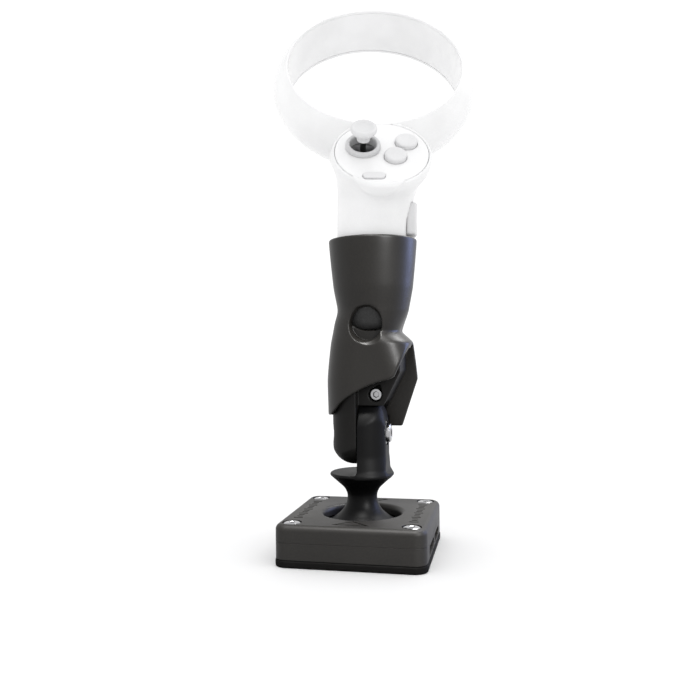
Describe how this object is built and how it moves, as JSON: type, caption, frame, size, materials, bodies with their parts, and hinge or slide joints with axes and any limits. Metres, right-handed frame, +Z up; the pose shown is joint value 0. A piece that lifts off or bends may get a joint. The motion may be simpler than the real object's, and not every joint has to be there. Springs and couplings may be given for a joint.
{
  "type": "motion controller with desk stand",
  "caption": "Ring-type hand motion controller standing in an open cup, carried by a clamped knuckle hinge and a black stem that tilts in a flat square base.",
  "frame": {"origin": "middle of the square base's underside", "axes": "+X to the user's right, +Y away from the user, +Z up along the stem; the cup's axis stands 6 mm to the right of the stem's axis"},
  "size_m": [0.1006, 0.1052, 0.2711],
  "materials": {
    "dark_plastic": "satin moulded dark grey",
    "black_plastic": "satin black",
    "knuckle_plastic": "satin charcoal",
    "foot_rubber": "matt black rubber",
    "bright_steel": "polished screw heads",
    "steel": "bright zinc-plated steel",
    "brass": "turned brass",
    "alloy": "machined alloy",
    "white_plastic": "satin white",
    "white_gloss": "glossy white",
    "soft_grey": "soft-touch pale grey",
    "module_plastic": "dark moulded module",
    "board": "green lacquered circuit board",
    "cell": "plain coloured cell jacket"
  },
  "bodies": {
    "base": {"foot_pad": "foot_rubber", "bottom_shell": "dark_plastic", "top_shell": "dark_plastic", "corner_screws": "bright_steel", "corner_inserts": "brass", "gimbal_cradle": "alloy", "cradle_screws": "steel"},
    "gimbal": {"gimbal_ring": "alloy", "outer_pins": "steel", "inner_pins": "steel"},
    "stem_body": {"stem": "black_plastic", "gimbal_hub": "alloy", "hub_screw": "steel", "hinge_bolt": "bright_steel", "hinge_washers": "steel", "hinge_nut": "steel"},
    "cup": {"knuckle": "knuckle_plastic", "coupler_screw": "bright_steel", "coupler_nut": "steel", "cup_shell": "dark_plastic"},
    "controller": {"front_shell": "white_plastic", "rear_shell": "white_plastic", "end_cap": "black_plastic", "shell_screws": "steel", "face_plate": "white_gloss", "ring_outer_shell": "white_plastic", "ring_inner_shell": "white_plastic", "led_strip": "board", "stick_bezel": "white_gloss", "stick_module": "module_plastic", "circuit_board": "board", "button_switches": "module_plastic", "battery": "cell", "battery_contacts": "steel", "haptic_motor": "steel", "trigger_pin": "steel", "trigger_spring": "steel"},
    "rocker": {"stick_rocker": "alloy"},
    "thumbstick": {"thumbstick_shaft": "module_plastic", "thumbstick_cap": "soft_grey"},
    "upper_key": {"upper_button": "white_gloss"},
    "lower_key": {"lower_button": "white_gloss"},
    "menu_key": {"menu_button": "white_gloss"},
    "trigger_body": {"trigger": "white_plastic"},
    "grip_body": {"grip_button": "soft_grey"}
  },
  "joints": [
    {"name": "base_pitch", "type": "hinge", "parent": "base", "child": "gimbal", "pos_m": [0, 0, 0.01], "axis": [1, 0, 0], "range_deg": [-12, 12]},
    {"name": "base_roll", "type": "hinge", "parent": "gimbal", "child": "stem_body", "pos_m": [0, 0, 0.01], "axis": [0, 1, 0], "range_deg": [-12, 12]},
    {"name": "knuckle_hinge", "type": "hinge", "parent": "stem_body", "child": "cup", "pos_m": [0, 0, 0.0548], "axis": [1, 0, 0], "range_deg": [-30, 60]},
    {"name": "controller_lift", "type": "slide", "parent": "cup", "child": "controller", "axis": [0, 0, 1], "range_m": [0, 0.12]},
    {"name": "stick_forward_back", "type": "hinge", "parent": "controller", "child": "rocker", "pos_m": [0.00281, -0.00624, 0.17958], "axis": [0.9703, 0.2419, 0], "range_deg": [-12, 12], "stiffness_Nm_per_rad": 0.05},
    {"name": "stick_left_right", "type": "hinge", "parent": "rocker", "child": "thumbstick", "pos_m": [0.00281, -0.00624, 0.17958], "axis": [-0.1489, 0.5974, 0.788], "range_deg": [-12, 12], "stiffness_Nm_per_rad": 0.05},
    {"name": "upper_button_press", "type": "slide", "parent": "controller", "child": "upper_key", "axis": [-0.1906, 0.7646, -0.6157], "range_m": [0, 0.0012], "stiffness_N_per_m": 500},
    {"name": "lower_button_press", "type": "slide", "parent": "controller", "child": "lower_key", "axis": [-0.1906, 0.7646, -0.6157], "range_m": [0, 0.0012], "stiffness_N_per_m": 500},
    {"name": "menu_button_press", "type": "slide", "parent": "controller", "child": "menu_key", "axis": [-0.1906, 0.7646, -0.6157], "range_m": [0, 0.0005], "stiffness_N_per_m": 500},
    {"name": "trigger_pull", "type": "hinge", "parent": "controller", "child": "trigger_body", "pos_m": [0.00965, 0.01843, 0.1772], "axis": [-0.9703, -0.2419, 0], "range_deg": [0, 12], "stiffness_Nm_per_rad": 0.3},
    {"name": "grip_press", "type": "slide", "parent": "controller", "child": "grip_body", "axis": [-0.9703, -0.2419, 0], "range_m": [0, 0.002], "stiffness_N_per_m": 600}
  ]
}
